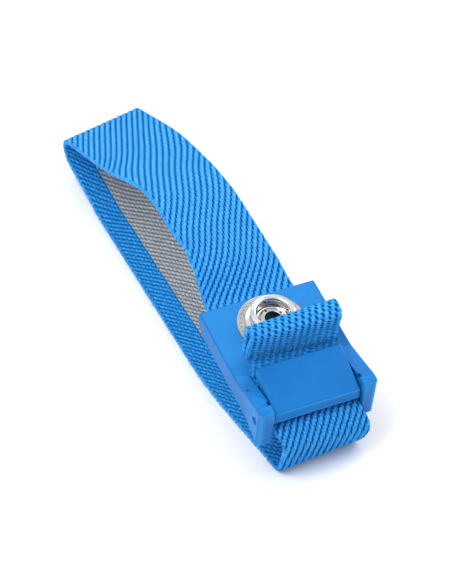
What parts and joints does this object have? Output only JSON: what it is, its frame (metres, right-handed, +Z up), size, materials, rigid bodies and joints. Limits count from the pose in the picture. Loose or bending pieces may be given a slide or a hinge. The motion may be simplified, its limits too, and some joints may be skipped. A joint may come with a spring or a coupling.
{
  "type": "esd wrist strap",
  "caption": "Elastic anti-static wrist band with a conductive inner stripe, a plastic cam buckle and a metal snap stud for an earth cord.",
  "frame": {"origin": "middle of the strap's box, on the surface that the flat bottom run of the band rests on", "axes": "+Z up, +Y along the band from the buckle's front turn towards the far fold of the loop, X across the band"},
  "size_m": [0.027, 0.1234, 0.0338],
  "materials": {
    "blue_plastic": "satin moulded plastic",
    "pin_steel": "ground steel",
    "nickel_plate": "bright nickel plate",
    "stainless_plate": "brushed stainless steel",
    "blue_webbing": "diagonal twill elastic webbing",
    "conductive_yarn": "grey conductive yarn weave",
    "rubber_thread": "natural rubber thread",
    "sewing_thread": "twisted sewing thread"
  },
  "bodies": {
    "band_and_buckle": {"buckle_body": "blue_plastic", "pivot_pin": "pin_steel", "grip_washer": "nickel_plate", "snap_stud": "nickel_plate", "snap_rivet": "nickel_plate", "contact_plate": "stainless_plate", "band_webbing": "blue_webbing", "conductive_stripe": "conductive_yarn", "elastic_threads": "rubber_thread", "hem_stitches": "sewing_thread"},
    "cam_lever": {"cam_lever": "blue_plastic"}
  },
  "joints": [
    {"name": "lever_hinge", "type": "hinge", "parent": "band_and_buckle", "child": "cam_lever", "pos_m": [0, -0.05837, 0.01727], "axis": [1, 0, 0], "range_deg": [0, 75]}
  ]
}
